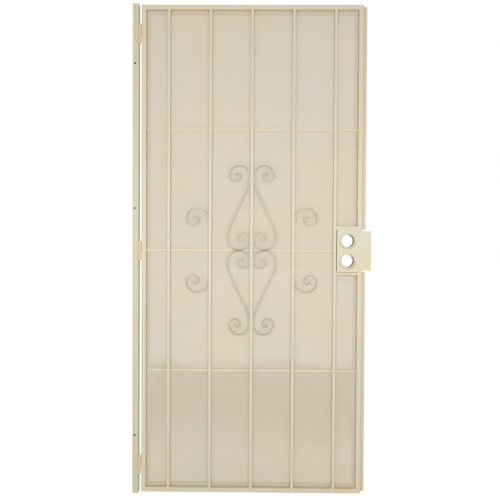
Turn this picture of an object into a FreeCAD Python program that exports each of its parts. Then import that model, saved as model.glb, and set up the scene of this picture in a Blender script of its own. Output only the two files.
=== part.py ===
import FreeCAD, Part
import math
import os
import Sketcher

# A surface-mounted steel security screen door: a hinge jamb, three barrel hinges
# and an outward-swinging leaf with pickets, cross rails, scrollwork, a screen and
# a double lock box. X runs along the door, +Y into the wall, Z up. The origin is
# the middle of the jamb's back face. Sizes are in millimetres and degrees.
SIZES = [
    ("jamb_height", 2076.5, "hinge jamb from end to end"),
    ("jamb_face", 25.4, "jamb tube seen from the front"),
    ("jamb_depth", 31.75, "jamb tube from front to wall"),
    ("jamb_wall", 1.6, "jamb tube wall"),
    ("tube_corner", 1.6, "outer corner radius of the tubes"),
    ("anchor_radius", 4.0, "screw hole through the jamb"),
    ("anchor_offset", 3.0, "screw holes off the jamb's middle, away from the leaf"),
    ("anchor_inset", 249.5, "outer screw holes from the jamb's ends"),
    ("anchor_middle", 177.5, "middle screw hole above half height"),
    ("leaf_gap", 12.7, "hinge gap between jamb and leaf"),
    ("leaf_width", 933.45, "leaf over its two stiles"),
    ("leaf_head_gap", 5.0, "leaf below the jamb's upper end"),
    ("leaf_sill_gap", 7.0, "leaf above the jamb's lower end"),
    ("frame_face", 19.05, "frame tube seen from the front"),
    ("frame_depth", 25.4, "frame tube from front to back"),
    ("frame_wall", 1.6, "frame tube wall"),
    ("picket_size", 12.7, "square picket tube"),
    ("picket_wall", 1.2, "picket tube wall"),
    ("picket_corner", 1.0, "outer corner radius of the pickets"),
    ("picket_recess", 1.5, "pickets behind the leaf's front"),
    ("rail_height", 9.5, "cross rail bar, up and down"),
    ("rail_depth", 6.35, "cross rail bar, front to back"),
    ("rail_spacing", 512.0, "spacing of the cross rails"),
    ("screen_thickness", 1.0, "perforated sheet"),
    ("screen_clearance", 0.5, "sheet inside the frame and round the lock"),
    ("slot_width", 43.0, "opening of the coarse grid, across"),
    ("slot_height", 88.0, "opening of the coarse grid, up and down"),
    ("retainer_width", 15.0, "strip that holds the sheet"),
    ("retainer_thickness", 3.0, "strip that holds the sheet"),
    ("flange_width", 19.05, "overlap flange past the latch stile"),
    ("flange_leg", 17.0, "flange leg along the latch stile"),
    ("flange_thickness", 2.0, "flange sheet"),
    ("lock_width", 105.375, "lock box back from the latch edge"),
    ("lock_height", 182.0, "lock box, up and down"),
    ("lock_depth", 44.45, "lock box, front to back"),
    ("lock_wall", 2.0, "lock box sheet"),
    ("lock_gap", 3.0, "lock box from the last picket"),
    ("lock_corner", 8.0, "outer corner radius of the lock box"),
    ("lock_bar_size", 12.7, "square bar over and under the lock box"),
    ("shield_thickness", 2.5, "plate in front of the lock box"),
    ("shield_ear_height", 167.0, "ear of the plate past the flange"),
    ("shield_overhang", 18.5, "ear beyond the flange's edge"),
    ("boss_radius", 34.0, "raised ring round each lock bore"),
    ("boss_height", 2.0, "raised ring above the plate"),
    ("boss_bevel", 1.5, "bevel of the raised ring"),
    ("bore_radius", 27.0, "lock bore"),
    ("bore_spacing", 85.0, "upper bore to lower bore"),
    ("bore_backset", 60.3, "lock bores from the latch edge"),
    ("latch_radius", 12.7, "latch bore in the edge of the lock box"),
    ("hinge_inset", 125.5, "outer hinges' centres from the jamb's ends"),
    ("hinge_proud", 3.5, "hinge axis in front of the jamb's face"),
    ("knuckle_radius", 5.5, "hinge knuckle"),
    ("knuckle_fixed", 33.0, "knuckle on the jamb"),
    ("knuckle_moving", 40.0, "knuckle on the leaf"),
    ("knuckle_gap", 0.5, "running gap between the knuckles"),
    ("flap_thickness", 2.5, "hinge flap"),
    ("flap_depth", 24.0, "hinge flap back from the axis"),
    ("pin_radius", 3.15, "hinge pin"),
    ("pin_clearance", 0.05, "running fit round the pin"),
    ("pin_head_radius", 6.0, "head of the pin"),
    ("pin_head_height", 8.0, "head of the pin"),
    ("pin_head_bevel", 2.5, "bevel of the pin's head"),
    ("pin_head_gap", 0.3, "head above the moving knuckle"),
    ("scroll_thickness", 4.8, "flat bar of the scrolls, edge on"),
    ("scroll_width", 12.7, "flat bar of the scrolls, front to back"),
    ("scroll_clearance", 0.1, "scroll bows from half height"),
    ("bow_radius", 47.0, "round end of a long scroll"),
    ("bow_curl_middle", 26.0, "second turn in the bow"),
    ("bow_curl_inner", 13.0, "last turn in the bow"),
    ("arm_lean_angle", 25.0, "slope of a long scroll's arm in degrees"),
    ("arm_upper_bend", 100.0, "bend from the picket into the arm"),
    ("arm_lower_bend", 130.0, "bend from the arm into the bow"),
    ("neck_length", 15.0, "stretch of scroll flat on its picket"),
    ("curl_outer", 43.0, "first turn at the end of a long scroll"),
    ("curl_middle", 24.0, "second turn there"),
    ("curl_inner", 11.0, "last turn there"),
    ("side_curl_height", 133.0, "side scrolls above and below half height"),
    ("side_curl_outer", 46.5, "first turn of a side scroll"),
    ("side_curl_middle", 27.0, "second turn of a side scroll"),
    ("side_curl_inner", 12.0, "last turn of a side scroll"),
]
PICKET_COUNT = 5
SLOT_ROWS = 5
LATCH_CUT_SPARE = 1.0

doc = FreeCAD.newDocument("security_screen_door")
sheet = doc.addObject("Spreadsheet::Sheet", "sizes")
for row, (alias, value, meaning) in enumerate(SIZES, start=1):
    sheet.set(f"A{row}", alias)
    sheet.set(f"B{row}", str(value))
    sheet.set(f"C{row}", meaning)
    sheet.setAlias(f"B{row}", alias)
doc.recompute()


def size(alias):
    return float(getattr(sheet, alias))


# Places that several pieces share, written from the sheet's names.
FRONT = "(-sizes.jamb_depth)"
LEAF_LEFT = "(sizes.jamb_face / 2 + sizes.leaf_gap)"
LEAF_RIGHT = f"({LEAF_LEFT} + sizes.leaf_width)"
LEAF_MIDDLE = f"({LEAF_LEFT} + sizes.leaf_width / 2)"
LEAF_BOTTOM = "(-sizes.jamb_height / 2 + sizes.leaf_sill_gap)"
LEAF_TOP = "(sizes.jamb_height / 2 - sizes.leaf_head_gap)"
LEAF_HEIGHT = f"({LEAF_TOP} - {LEAF_BOTTOM})"
LEAF_HALF = "((sizes.leaf_sill_gap - sizes.leaf_head_gap) / 2)"
OPENING_LEFT = f"({LEAF_LEFT} + sizes.frame_face)"
OPENING_WIDTH = "(sizes.leaf_width - 2 * sizes.frame_face)"
OPENING_BOTTOM = f"({LEAF_BOTTOM} + sizes.frame_face)"
OPENING_HEIGHT = f"({LEAF_HEIGHT} - 2 * sizes.frame_face)"
OPENING_TOP = f"({LEAF_TOP} - sizes.frame_face)"
PICKET_FRONT = f"({FRONT} + sizes.picket_recess)"
RAIL_FRONT = f"({PICKET_FRONT} + sizes.picket_size)"
SCREEN_FRONT = f"({RAIL_FRONT} + sizes.rail_depth)"
RETAINER_FRONT = f"({SCREEN_FRONT} + sizes.screen_thickness)"
LOCK_WIDTH = "sizes.lock_width"
LOCK_LEFT = f"({LEAF_RIGHT} - {LOCK_WIDTH})"
LAST_PICKET_EDGE = f"({LOCK_LEFT} - sizes.lock_gap)"
OUTER_PICKET_STEPS = (PICKET_COUNT - 1) / 2
PICKET_PITCH = (f"(({LAST_PICKET_EDGE} - sizes.picket_size / 2 - {LEAF_MIDDLE})"
                f" / {OUTER_PICKET_STEPS})")
LOCK_BOTTOM = f"({LEAF_HALF} - sizes.lock_height / 2)"
LOCK_TOP = f"({LEAF_HALF} + sizes.lock_height / 2)"
HINGE_X = "(sizes.jamb_face / 2 + sizes.leaf_gap / 2)"
HINGE_Y = f"({FRONT} - sizes.hinge_proud)"
HINGE_STACK = ("(sizes.knuckle_fixed + sizes.knuckle_gap + sizes.knuckle_moving"
               " + sizes.pin_head_gap + sizes.pin_head_height)")
KNUCKLE_BORE = "(sizes.pin_radius + sizes.pin_clearance)"

pieces = []


# Shared ways of making a body.
def new_piece(label, x, y, z):
    body = doc.addObject("PartDesign::Body", label)
    body.Label = label
    body.setExpression("Placement.Base.x", x)
    body.setExpression("Placement.Base.y", y)
    body.setExpression("Placement.Base.z", z)
    pieces.append(body)
    return body


def new_sketch(body, plane, lift=None):
    sketch = body.newObject("Sketcher::SketchObject", body.Name + "_sketch")
    for feature in body.Origin.OriginFeatures:
        if feature.Role == plane:
            sketch.AttachmentSupport = [(feature, "")]
    sketch.MapMode = "FlatFace"
    if lift is not None:
        sketch.setExpression("AttachmentOffset.Base.z", lift)
    return sketch


def fix_point(sketch, curve, corner, across, up):
    """Ties one point of a curve to two distances from the sketch's origin."""
    for kind, axis, distance in (("DistanceX", -2, across), ("DistanceY", -1, up)):
        if distance == "0":
            sketch.addConstraint(Sketcher.Constraint("PointOnObject", curve, corner, axis))
        else:
            number = sketch.addConstraint(Sketcher.Constraint(kind, -1, 1, curve, corner, 1.0))
            sketch.setExpression(f"Constraints[{number}]", distance)


def draw_outline(sketch, corners):
    """Draws a closed outline of straight lines through corners given as expressions."""
    turn = 2 * math.pi / len(corners)
    start = [FreeCAD.Vector(math.cos(k * turn), math.sin(k * turn), 0) for k in range(len(corners))]
    first = sketch.GeometryCount
    for k in range(len(corners)):
        sketch.addGeometry(Part.LineSegment(start[k], start[(k + 1) % len(corners)]), False)
    for k, (across, up) in enumerate(corners):
        after = first + (k + 1) % len(corners)
        sketch.addConstraint(Sketcher.Constraint("Coincident", first + k, 2, after, 1))
        fix_point(sketch, first + k, 1, across, up)


def draw_rectangle(sketch, left, low, right, high):
    draw_outline(sketch, [(left, low), (right, low), (right, high), (left, high)])


def draw_circle(sketch, across, up, radius):
    circle = sketch.addGeometry(
        Part.Circle(FreeCAD.Vector(0, 0, 0), FreeCAD.Vector(0, 0, 1), 1.0), False)
    fix_point(sketch, circle, 3, across, up)
    number = sketch.addConstraint(Sketcher.Constraint("Radius", circle, 1.0))
    sketch.setExpression(f"Constraints[{number}]", radius)


def add_pad(body, sketch, length, reverse=False):
    pad = body.newObject("PartDesign::Pad", body.Name + "_pad")
    pad.Profile = sketch
    pad.setExpression("Length", length)
    pad.Reversed = reverse
    sketch.Visibility = False
    doc.recompute()
    return pad


def add_pocket(body, sketch, reverse=False, depth=None):
    before = body.Shape.Volume
    pocket = body.newObject("PartDesign::Pocket", body.Name + "_pocket")
    pocket.Profile = sketch
    if depth is None:
        pocket.Type = "ThroughAll"
    else:
        pocket.setExpression("Length", depth)
    pocket.Reversed = reverse
    doc.recompute()
    if body.Shape.Volume >= before:
        raise RuntimeError("pocket cuts nothing in " + body.Label)
    return pocket


def straight_edges(shape, direction, keep=None):
    """Names of the straight edges along a direction that the keep test accepts."""
    names = []
    for number, edge in enumerate(shape.Edges, start=1):
        if not isinstance(edge.Curve, Part.Line):
            continue
        along = edge.tangentAt(edge.FirstParameter)
        if abs(abs(along.dot(direction)) - 1) < 1e-6 and (keep is None or keep(edge)):
            names.append(f"Edge{number}")
    return names


def round_edges(body, base, names, radius):
    fillet = body.newObject("PartDesign::Fillet", body.Name + "_fillet")
    fillet.Base = (base, names)
    fillet.setExpression("Radius", radius)
    doc.recompute()
    return fillet


def add_bevel(body, base, names, width):
    bevel = body.newObject("PartDesign::Chamfer", body.Name + "_bevel")
    bevel.Base = (base, names)
    bevel.setExpression("Size", width)
    doc.recompute()
    return bevel


ALONG_X = FreeCAD.Vector(1, 0, 0)
ALONG_Y = FreeCAD.Vector(0, 1, 0)
ALONG_Z = FreeCAD.Vector(0, 0, 1)


def upright_bar(label, place, face, depth, length, corner, wall=None):
    """A bar or tube that runs up from its foot, its front at the body's own Y of 0."""
    body = new_piece(label, *place)
    sketch = new_sketch(body, "XY_Plane")
    draw_rectangle(sketch, "0", "0", face, depth)
    pad = add_pad(body, sketch, length)
    if corner is not None:
        round_edges(body, pad, straight_edges(pad.Shape, ALONG_Z), corner)
    if wall is not None:
        bore = new_sketch(body, "XY_Plane")
        draw_rectangle(bore, wall, wall, f"{face} - {wall}", f"{depth} - {wall}")
        add_pocket(body, bore, reverse=True)
    return body


def level_bar(label, place, height, depth, length, corner, wall=None):
    """A bar or tube that runs to the right from its left end."""
    body = new_piece(label, *place)
    sketch = new_sketch(body, "YZ_Plane")
    draw_rectangle(sketch, "0", "0", depth, height)
    pad = add_pad(body, sketch, length)
    if corner is not None:
        round_edges(body, pad, straight_edges(pad.Shape, ALONG_X), corner)
    if wall is not None:
        bore = new_sketch(body, "YZ_Plane")
        draw_rectangle(bore, wall, wall, f"{depth} - {wall}", f"{height} - {wall}")
        add_pocket(body, bore, reverse=True)
    return body


def cut_mitre(body, corners):
    """Cuts a triangle off a frame tube so that it meets its neighbour at 45 degrees."""
    sketch = new_sketch(body, "XZ_Plane")
    draw_outline(sketch, corners)
    add_pocket(body, sketch)


# Hinge jamb, with three screw holes through both of its walls.
def build_jamb():
    place = ("-sizes.jamb_face / 2", FRONT, "-sizes.jamb_height / 2")
    body = upright_bar("hinge_jamb", place, "sizes.jamb_face", "sizes.jamb_depth",
                       "sizes.jamb_height", "sizes.tube_corner", "sizes.jamb_wall")
    holes = new_sketch(body, "XZ_Plane")
    for up in ("sizes.anchor_inset", "sizes.jamb_height - sizes.anchor_inset",
               "sizes.jamb_height / 2 + sizes.anchor_middle"):
        draw_circle(holes, "sizes.jamb_face / 2 - sizes.anchor_offset", up, "sizes.anchor_radius")
    add_pocket(body, holes)


# Leaf frame: mitred tubes, the latch stile parted by the lock box.
def build_frame():
    face = "sizes.frame_face"
    width = "sizes.leaf_width"
    height = LEAF_HEIGHT
    tube = (face, "sizes.frame_depth")
    finish = ("sizes.tube_corner", "sizes.frame_wall")

    top = level_bar("frame_top_rail", (LEAF_LEFT, FRONT, OPENING_TOP), *tube, width, *finish)
    cut_mitre(top, [("0", "0"), (face, "0"), ("0", face)])
    cut_mitre(top, [(width, "0"), (width, face), (f"{width} - {face}", "0")])

    bottom = level_bar("frame_bottom_rail", (LEAF_LEFT, FRONT, LEAF_BOTTOM), *tube, width, *finish)
    cut_mitre(bottom, [("0", face), ("0", "0"), (face, face)])
    cut_mitre(bottom, [(width, face), (f"{width} - {face}", face), (width, "0")])

    stile = upright_bar("hinge_stile", (LEAF_LEFT, FRONT, LEAF_BOTTOM), *tube, height, *finish)
    cut_mitre(stile, [(face, "0"), (face, face), ("0", "0")])
    cut_mitre(stile, [(face, height), ("0", height), (face, f"{height} - {face}")])

    right = f"{LEAF_RIGHT} - {face}"
    lower_length = f"{LOCK_BOTTOM} - {LEAF_BOTTOM}"
    lower = upright_bar("latch_stile_lower", (right, FRONT, LEAF_BOTTOM), *tube, lower_length, *finish)
    cut_mitre(lower, [("0", "0"), (face, "0"), ("0", face)])

    upper_length = f"({LEAF_TOP} - {LOCK_TOP})"
    upper = upright_bar("latch_stile_upper", (right, FRONT, LOCK_TOP), *tube, upper_length, *finish)
    cut_mitre(upper, [("0", upper_length), ("0", f"{upper_length} - {face}"), (face, upper_length)])


# Overlap flange: an angle welded along the latch edge above and below the lock.
def build_flange(label, low, length):
    place = (LEAF_RIGHT, f"{FRONT} + sizes.frame_depth - sizes.flange_leg", low)
    body = new_piece(label, *place)
    sketch = new_sketch(body, "XY_Plane")
    sheet_edge = "sizes.flange_leg - sizes.flange_thickness"
    draw_outline(sketch, [("0", "0"), ("sizes.flange_thickness", "0"),
                          ("sizes.flange_thickness", sheet_edge),
                          ("sizes.flange_width", sheet_edge),
                          ("sizes.flange_width", "sizes.flange_leg"), ("0", "sizes.flange_leg")])
    add_pad(body, sketch, length)


# Pickets and cross rails. The middle rail stops at the last picket.
def build_bars():
    for number in range(1, PICKET_COUNT + 1):
        steps = number - (PICKET_COUNT + 1) / 2
        left = f"{LEAF_MIDDLE} + {steps} * {PICKET_PITCH} - sizes.picket_size / 2"
        upright_bar(f"picket_{number}", (left, PICKET_FRONT, OPENING_BOTTOM), "sizes.picket_size",
                    "sizes.picket_size", OPENING_HEIGHT, "sizes.picket_corner", "sizes.picket_wall")
    for name, step in (("upper", 1), ("middle", 0), ("lower", -1)):
        low = f"{LEAF_HALF} + {step} * sizes.rail_spacing - sizes.rail_height / 2"
        length = OPENING_WIDTH
        if name == "middle":
            length = f"{LAST_PICKET_EDGE} - {OPENING_LEFT}"
        level_bar("cross_rail_" + name, (OPENING_LEFT, RAIL_FRONT, low), "sizes.rail_height",
                  "sizes.rail_depth", length, None)


# Perforated sheet, notched round the lock box, and the strips behind it. A coarse
# grid of slots, two to each bay between pickets, opens as much of the sheet as its
# fine round holes do.
def cut_slots(body, left, low, columns, rows, row_pitch):
    """Cuts columns and rows of slots, counted from the lower left one."""
    first = new_sketch(body, "XZ_Plane")
    draw_rectangle(first, left, low, f"{left} + sizes.slot_width", f"{low} + sizes.slot_height")
    slot = add_pocket(body, first)
    single = body.Shape.Volume
    grid = body.newObject("PartDesign::LinearPattern", body.Name + "_grid")
    grid.Originals = [slot]
    grid.Direction = (first, ["H_Axis"])
    grid.setExpression("Length", f"{columns - 1} * {PICKET_PITCH} / 2")
    grid.Occurrences = columns
    grid.Direction2 = (first, ["V_Axis"])
    grid.setExpression("Length2", f"{rows - 1} * {row_pitch}")
    grid.Occurrences2 = rows
    body.Tip = grid
    doc.recompute()
    if body.Shape.Volume >= single:
        raise RuntimeError("slots cut nothing in " + body.Label)


def build_screen():
    gap = "sizes.screen_clearance"
    place = (f"{OPENING_LEFT} + {gap}", SCREEN_FRONT, f"{OPENING_BOTTOM} + {gap}")
    body = new_piece("screen_panel", *place)
    width = f"{OPENING_WIDTH} - 2 * {gap}"
    height = f"{OPENING_HEIGHT} - 2 * {gap}"
    notch_left = f"{LOCK_LEFT} - {OPENING_LEFT} - 2 * {gap}"
    notch_low = f"{LOCK_BOTTOM} - {OPENING_BOTTOM} - 2 * {gap}"
    notch_high = f"{LOCK_TOP} - {OPENING_BOTTOM}"
    sketch = new_sketch(body, "XZ_Plane")
    draw_outline(sketch, [("0", "0"), (width, "0"), (width, notch_low), (notch_left, notch_low),
                          (notch_left, notch_high), (width, notch_high), (width, height), ("0", height)])
    add_pad(body, sketch, "sizes.screen_thickness", reverse=True)

    strip = "sizes.retainer_width"
    first_left = (f"{LEAF_MIDDLE} - ({OUTER_PICKET_STEPS} + 0.25) * {PICKET_PITCH}"
                  f" - sizes.slot_width / 2 - {OPENING_LEFT} - {gap}")
    columns = 2 * PICKET_COUNT
    field_low = f"({strip} - {gap})"
    field_high = f"({height} - {strip} + {gap})"
    for low, high, across, rows in ((field_low, f"({notch_low})", columns, SLOT_ROWS),
                                    (f"({notch_low})", f"({notch_high})", columns - 1, 1),
                                    (f"({notch_high})", field_high, columns, SLOT_ROWS)):
        row_pitch = f"({high} - {low}) / {rows}"
        first_low = f"{low} + {row_pitch} / 2 - sizes.slot_height / 2"
        cut_slots(body, first_left, first_low, across, rows, row_pitch)

    thin = "sizes.retainer_thickness"
    right = f"{OPENING_LEFT} + {OPENING_WIDTH} - {strip}"
    inner_low = f"{OPENING_BOTTOM} + {strip}"
    upright_bar("screen_retainer_left", (OPENING_LEFT, RETAINER_FRONT, inner_low),
                strip, thin, f"{OPENING_HEIGHT} - 2 * {strip}", None)
    upright_bar("screen_retainer_right_lower", (right, RETAINER_FRONT, inner_low),
                strip, thin, f"{LOCK_BOTTOM} - ({inner_low})", None)
    upright_bar("screen_retainer_right_upper", (right, RETAINER_FRONT, LOCK_TOP),
                strip, thin, f"{OPENING_TOP} - {strip} - {LOCK_TOP}", None)
    level_bar("screen_retainer_bottom", (OPENING_LEFT, RETAINER_FRONT, OPENING_BOTTOM),
              strip, thin, OPENING_WIDTH, None)
    level_bar("screen_retainer_top", (OPENING_LEFT, RETAINER_FRONT, f"{OPENING_TOP} - {strip}"),
              strip, thin, OPENING_WIDTH, None)


# Lock box: a sheet ring closed by a back plate and by the shield plate in front.
def lock_bores(sketch):
    for step in (1, -1):
        draw_circle(sketch, f"{LOCK_WIDTH} - sizes.bore_backset",
                    f"sizes.lock_height / 2 + {step / 2} * sizes.bore_spacing", "sizes.bore_radius")


def left_of(limit):
    return lambda edge: edge.Vertexes[0].X < limit


def build_lock():
    wall = "sizes.lock_wall"
    side_depth = f"(sizes.lock_depth - {wall})"
    ring = new_piece("lock_box_sides", LOCK_LEFT, FRONT, LOCK_BOTTOM)
    outer = new_sketch(ring, "XZ_Plane")
    draw_rectangle(outer, "0", "0", LOCK_WIDTH, "sizes.lock_height")
    pad = add_pad(ring, outer, side_depth, reverse=True)
    corner_edges = straight_edges(pad.Shape, ALONG_Y, left_of(size("lock_wall") / 2))
    solid = round_edges(ring, pad, corner_edges, "sizes.lock_corner")
    open_faces = [f"Face{number}" for number, face in enumerate(solid.Shape.Faces, start=1)
                  if abs(abs(face.normalAt(0, 0).dot(ALONG_Y)) - 1) < 1e-6]
    shell = ring.newObject("PartDesign::Thickness", "lock_box_wall")
    shell.Base = (solid, open_faces)
    shell.setExpression("Value", wall)
    shell.Reversed = True
    doc.recompute()
    latches = new_sketch(ring, "YZ_Plane", LOCK_WIDTH)
    for step in (1, -1):
        draw_circle(latches, "sizes.lock_depth / 2",
                    f"sizes.lock_height / 2 + {step / 2} * sizes.bore_spacing", "sizes.latch_radius")
    add_pocket(ring, latches, depth=f"{wall} + {LATCH_CUT_SPARE}")

    back = new_piece("lock_back_plate", LOCK_LEFT, f"{FRONT} + {side_depth}", LOCK_BOTTOM)
    plate = new_sketch(back, "XZ_Plane")
    draw_rectangle(plate, "0", "0", LOCK_WIDTH, "sizes.lock_height")
    pad = add_pad(back, plate, wall, reverse=True)
    corner_edges = straight_edges(pad.Shape, ALONG_Y, left_of(size("lock_wall") / 2))
    round_edges(back, pad, corner_edges, "sizes.lock_corner")
    bores = new_sketch(back, "XZ_Plane")
    lock_bores(bores)
    add_pocket(back, bores)

    shield = new_piece("lock_shield_plate", LOCK_LEFT, FRONT, LOCK_BOTTOM)
    outline = new_sketch(shield, "XZ_Plane")
    ear_right = f"({LOCK_WIDTH} + sizes.flange_width + sizes.shield_overhang)"
    ear_low = "((sizes.lock_height - sizes.shield_ear_height) / 2)"
    ear_high = "((sizes.lock_height + sizes.shield_ear_height) / 2)"
    draw_outline(outline, [("0", "0"), (LOCK_WIDTH, "0"), (LOCK_WIDTH, ear_low), (ear_right, ear_low),
                           (ear_right, ear_high), (LOCK_WIDTH, ear_high),
                           (LOCK_WIDTH, "sizes.lock_height"), ("0", "sizes.lock_height")])
    pad = add_pad(shield, outline, "sizes.shield_thickness")
    corner_edges = straight_edges(pad.Shape, ALONG_Y, left_of(size("lock_wall") / 2))
    round_edges(shield, pad, corner_edges, "sizes.lock_corner")
    rings = new_sketch(shield, "XZ_Plane")
    for step in (1, -1):
        draw_circle(rings, f"{LOCK_WIDTH} - sizes.bore_backset",
                    f"sizes.lock_height / 2 + {step / 2} * sizes.bore_spacing", "sizes.boss_radius")
    boss = add_pad(shield, rings, "sizes.shield_thickness + sizes.boss_height")
    front = -size("shield_thickness") - size("boss_height")
    rims = [f"Edge{number}" for number, edge in enumerate(boss.Shape.Edges, start=1)
            if isinstance(edge.Curve, Part.Circle) and abs(edge.Vertexes[0].Y - front) < 1e-4]
    add_bevel(shield, boss, rims, "sizes.boss_bevel")
    bores = new_sketch(shield, "XZ_Plane")
    lock_bores(bores)
    add_pocket(shield, bores, reverse=True)

    bar = "sizes.lock_bar_size"
    bar_length = f"{LEAF_RIGHT} - sizes.frame_face - {LAST_PICKET_EDGE}"
    level_bar("lock_top_bar", (LAST_PICKET_EDGE, PICKET_FRONT, LOCK_TOP), bar, bar, bar_length,
              "sizes.picket_corner")
    level_bar("lock_bottom_bar", (LAST_PICKET_EDGE, PICKET_FRONT, f"{LOCK_BOTTOM} - {bar}"), bar, bar,
              bar_length, "sizes.picket_corner")


# Barrel hinges: a knuckle and flap on each side, and a loose pin with a bevelled head.
def build_knuckle(label, low, height, flap_near, flap_far):
    body = new_piece(label, HINGE_X, HINGE_Y, low)
    barrel = new_sketch(body, "XY_Plane")
    draw_circle(barrel, "0", "0", "sizes.knuckle_radius")
    add_pad(body, barrel, height)
    flap = new_sketch(body, "XY_Plane")
    draw_rectangle(flap, flap_near, "0", flap_far, "sizes.flap_depth")
    add_pad(body, flap, height)
    bore = new_sketch(body, "XY_Plane")
    draw_circle(bore, "0", "0", KNUCKLE_BORE)
    add_pocket(body, bore, reverse=True)


def build_pin(label, low):
    body = new_piece(label, HINGE_X, HINGE_Y, low)
    shank = "(sizes.knuckle_fixed + sizes.knuckle_gap + sizes.knuckle_moving + sizes.pin_head_gap)"
    round_shank = new_sketch(body, "XY_Plane")
    draw_circle(round_shank, "0", "0", "sizes.pin_radius")
    add_pad(body, round_shank, f"{shank} + sizes.pin_head_height / 2")
    head = new_sketch(body, "XY_Plane", shank)
    draw_circle(head, "0", "0", "sizes.pin_head_radius")
    pad = add_pad(body, head, "sizes.pin_head_height")
    crown = size("knuckle_fixed") + size("knuckle_gap") + size("knuckle_moving")
    crown += size("pin_head_gap") + size("pin_head_height")
    rim = [f"Edge{number}" for number, edge in enumerate(pad.Shape.Edges, start=1)
           if isinstance(edge.Curve, Part.Circle) and abs(edge.Vertexes[0].Z - crown) < 1e-4]
    add_bevel(body, pad, rim, "sizes.pin_head_bevel")


def build_hinges():
    gap_half = "(sizes.leaf_gap / 2)"
    heights = (("top", "sizes.jamb_height / 2 - sizes.hinge_inset"), ("middle", "0"),
               ("bottom", "sizes.hinge_inset - sizes.jamb_height / 2"))
    for name, height in heights:
        low = f"({height} - {HINGE_STACK} / 2)"
        moving_low = f"{low} + sizes.knuckle_fixed + sizes.knuckle_gap"
        build_knuckle("hinge_fixed_" + name, low, "sizes.knuckle_fixed", f"-{gap_half}",
                      f"sizes.flap_thickness - {gap_half}")
        build_knuckle("hinge_leaf_" + name, moving_low, "sizes.knuckle_moving",
                      f"{gap_half} - sizes.flap_thickness", gap_half)
        build_pin("hinge_pin_" + name, low)


# Scrolls: flat bar rolled on edge. A path is a start point, a heading and a list
# of moves, each a straight run or a turn of a given radius through some degrees,
# positive to the left. Both edges of the bar follow it half a thickness away.
class BarPath:
    def __init__(self, start, heading, thickness):
        self.here = FreeCAD.Vector(*start)
        self.heading = math.radians(heading)
        self.half = thickness / 2
        self.left_edge = []
        self.right_edge = []
        self.first_caps = self.cap()

    def cap(self):
        side = FreeCAD.Vector(-math.sin(self.heading), math.cos(self.heading), 0)
        return self.here + side * self.half, self.here - side * self.half

    def run(self, length):
        left, right = self.cap()
        along = FreeCAD.Vector(math.cos(self.heading), math.sin(self.heading), 0) * length
        self.left_edge.append((left, left + along))
        self.right_edge.append((right, right + along))
        self.here = self.here + along

    def turn(self, radius, degrees):
        sign = math.copysign(1, degrees)
        side = FreeCAD.Vector(-math.sin(self.heading), math.cos(self.heading), 0) * sign
        centre = self.here + side * radius
        from_centre = math.atan2(-side.y, -side.x)
        sweep = math.radians(degrees)
        for edge, reach in ((self.left_edge, radius - sign * self.half),
                            (self.right_edge, radius + sign * self.half)):
            points = []
            for share in (0, 0.5, 1):
                angle = from_centre + share * sweep
                points.append(centre + FreeCAD.Vector(math.cos(angle), math.sin(angle), 0) * reach)
            edge.append(tuple(points))
        end = from_centre + sweep
        self.here = centre + FreeCAD.Vector(math.cos(end), math.sin(end), 0) * radius
        self.heading += sweep


def scroll_solid(path, side, level):
    """Extrudes a path drawn for the upper right scroll, mirrored by side and level."""
    middle_x = size("jamb_face") / 2 + size("leaf_gap") + size("leaf_width") / 2
    middle_z = (size("leaf_sill_gap") - size("leaf_head_gap")) / 2
    front = -size("jamb_depth") + size("picket_recess")

    def place(point):
        return FreeCAD.Vector(middle_x + side * point.x, front, middle_z + level * point.y)

    def trace(points):
        placed = [place(point) for point in points]
        if len(placed) == 2:
            return Part.LineSegment(*placed).toShape()
        return Part.Arc(*placed).toShape()

    edges = [trace(points) for points in path.left_edge + path.right_edge]
    edges.append(trace(path.first_caps))
    edges.append(trace(path.cap()))
    wire = Part.Wire(Part.__sortEdges__(edges))
    return Part.Face(wire).extrude(FreeCAD.Vector(0, size("scroll_width"), 0))


def add_scroll(label, path, side, level):
    feature = doc.addObject("Part::Feature", label)
    feature.Label = label
    feature.Shape = scroll_solid(path, side, level)
    feature.Placement = FreeCAD.Placement()
    pieces.append(feature)


def long_scroll_path():
    """Curl at the top, neck on the centre picket, leaning arm, bow and inner curl."""
    lean = size("arm_lean_angle")
    bends = size("arm_upper_bend") + size("arm_lower_bend")
    slope = math.radians(lean)
    arm = (2 * size("bow_radius") - bends * (1 - math.cos(slope))) / math.sin(slope)
    bow_height = size("bow_radius") + size("scroll_thickness") / 2 + size("scroll_clearance")
    neck_foot = bow_height + bends * math.sin(slope) + arm * math.cos(slope)
    start_x = size("picket_size") / 2 + size("scroll_thickness") / 2
    curl_height = neck_foot + size("neck_length")
    inner_x = start_x + 2 * (size("curl_outer") - size("curl_middle") + size("curl_inner"))
    path = BarPath((inner_x, curl_height, 0), 90, size("scroll_thickness"))
    path.turn(size("curl_inner"), 180)
    path.turn(size("curl_middle"), 180)
    path.turn(size("curl_outer"), 180)
    path.run(size("neck_length"))
    path.turn(size("arm_upper_bend"), lean)
    path.run(arm)
    path.turn(size("arm_lower_bend"), -lean)
    path.turn(size("bow_radius"), -180)
    path.turn(size("bow_curl_middle"), -180)
    path.turn(size("bow_curl_inner"), -180)
    return path


def side_scroll_path():
    """Neck on the outer face of the picket next to the middle, then three turns."""
    last_picket = size("leaf_width") / 2 - size("lock_width") - size("lock_gap") - size("picket_size") / 2
    start_x = last_picket / OUTER_PICKET_STEPS + size("picket_size") / 2 + size("scroll_thickness") / 2
    start_y = size("side_curl_height") - size("neck_length")
    path = BarPath((start_x, start_y, 0), 90, size("scroll_thickness"))
    path.run(size("neck_length"))
    path.turn(size("side_curl_outer"), -180)
    path.turn(size("side_curl_middle"), -180)
    path.turn(size("side_curl_inner"), -180)
    return path


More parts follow.
